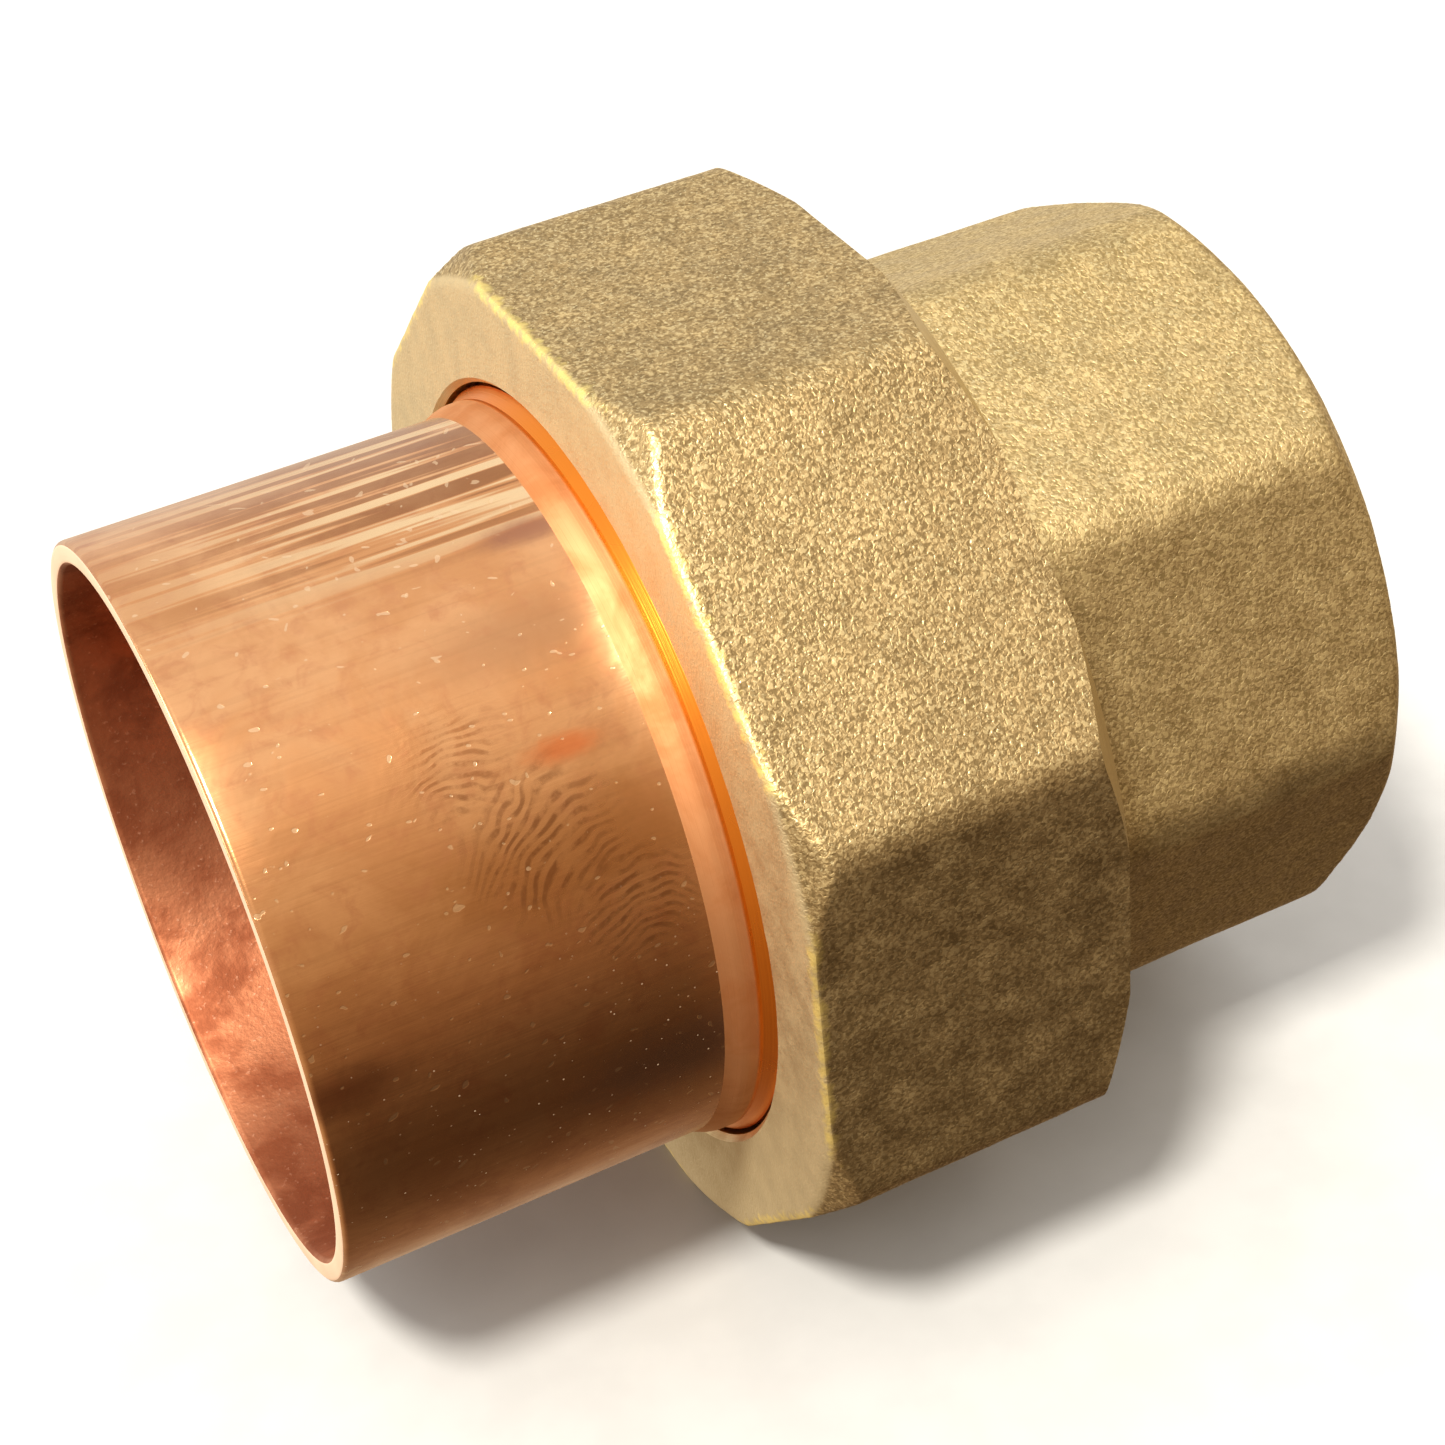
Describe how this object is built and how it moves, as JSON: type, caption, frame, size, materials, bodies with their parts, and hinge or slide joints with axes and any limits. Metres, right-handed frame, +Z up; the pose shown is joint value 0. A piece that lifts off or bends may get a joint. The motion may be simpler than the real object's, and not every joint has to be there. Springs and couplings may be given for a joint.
{
  "type": "pipe union",
  "caption": "Straight flat-seat pipe union: copper solder tail held by an octagonal union nut on an octagonal brass body with a matching solder socket.",
  "frame": {"origin": "centre of the brass body's socket mouth, on the pipe axis", "axes": "+X along the pipe axis and out of the body's socket mouth, +Z up with one flat of the union nut facing down"},
  "size_m": [0.0565, 0.049, 0.049],
  "materials": {
    "body_brass": "shot-blasted forging, machined bore and thread",
    "nut_brass": "shot-blasted forging, machined mouth, thread and back face",
    "tail_copper": null,
    "washer_rubber": "smooth moulded rubber"
  },
  "bodies": {
    "body": {"brass_body": "body_brass"},
    "washer": {"sealing_washer": "washer_rubber"},
    "tail": {"copper_tail": "tail_copper"},
    "nut": {"union_nut": "nut_brass"}
  },
  "joints": [
    {"name": "union_opening", "type": "slide", "parent": "body", "child": "washer", "axis": [-1, 0, 0], "range_m": [0, 0.01]},
    {"name": "nut_turn", "type": "hinge", "parent": "washer", "child": "nut", "pos_m": [-0.0275, 0, 0], "axis": [-1, 0, 0], "range_deg": [0, 1800]},
    {"name": "tail_swivel", "type": "hinge", "parent": "washer", "child": "tail", "pos_m": [-0.0315, 0, 0], "axis": [-1, 0, 0], "continuous": true}
  ],
  "couplings": [
    {"joint": "union_opening", "follows": "nut_turn", "m_per_rad": 0.0003183}
  ]
}
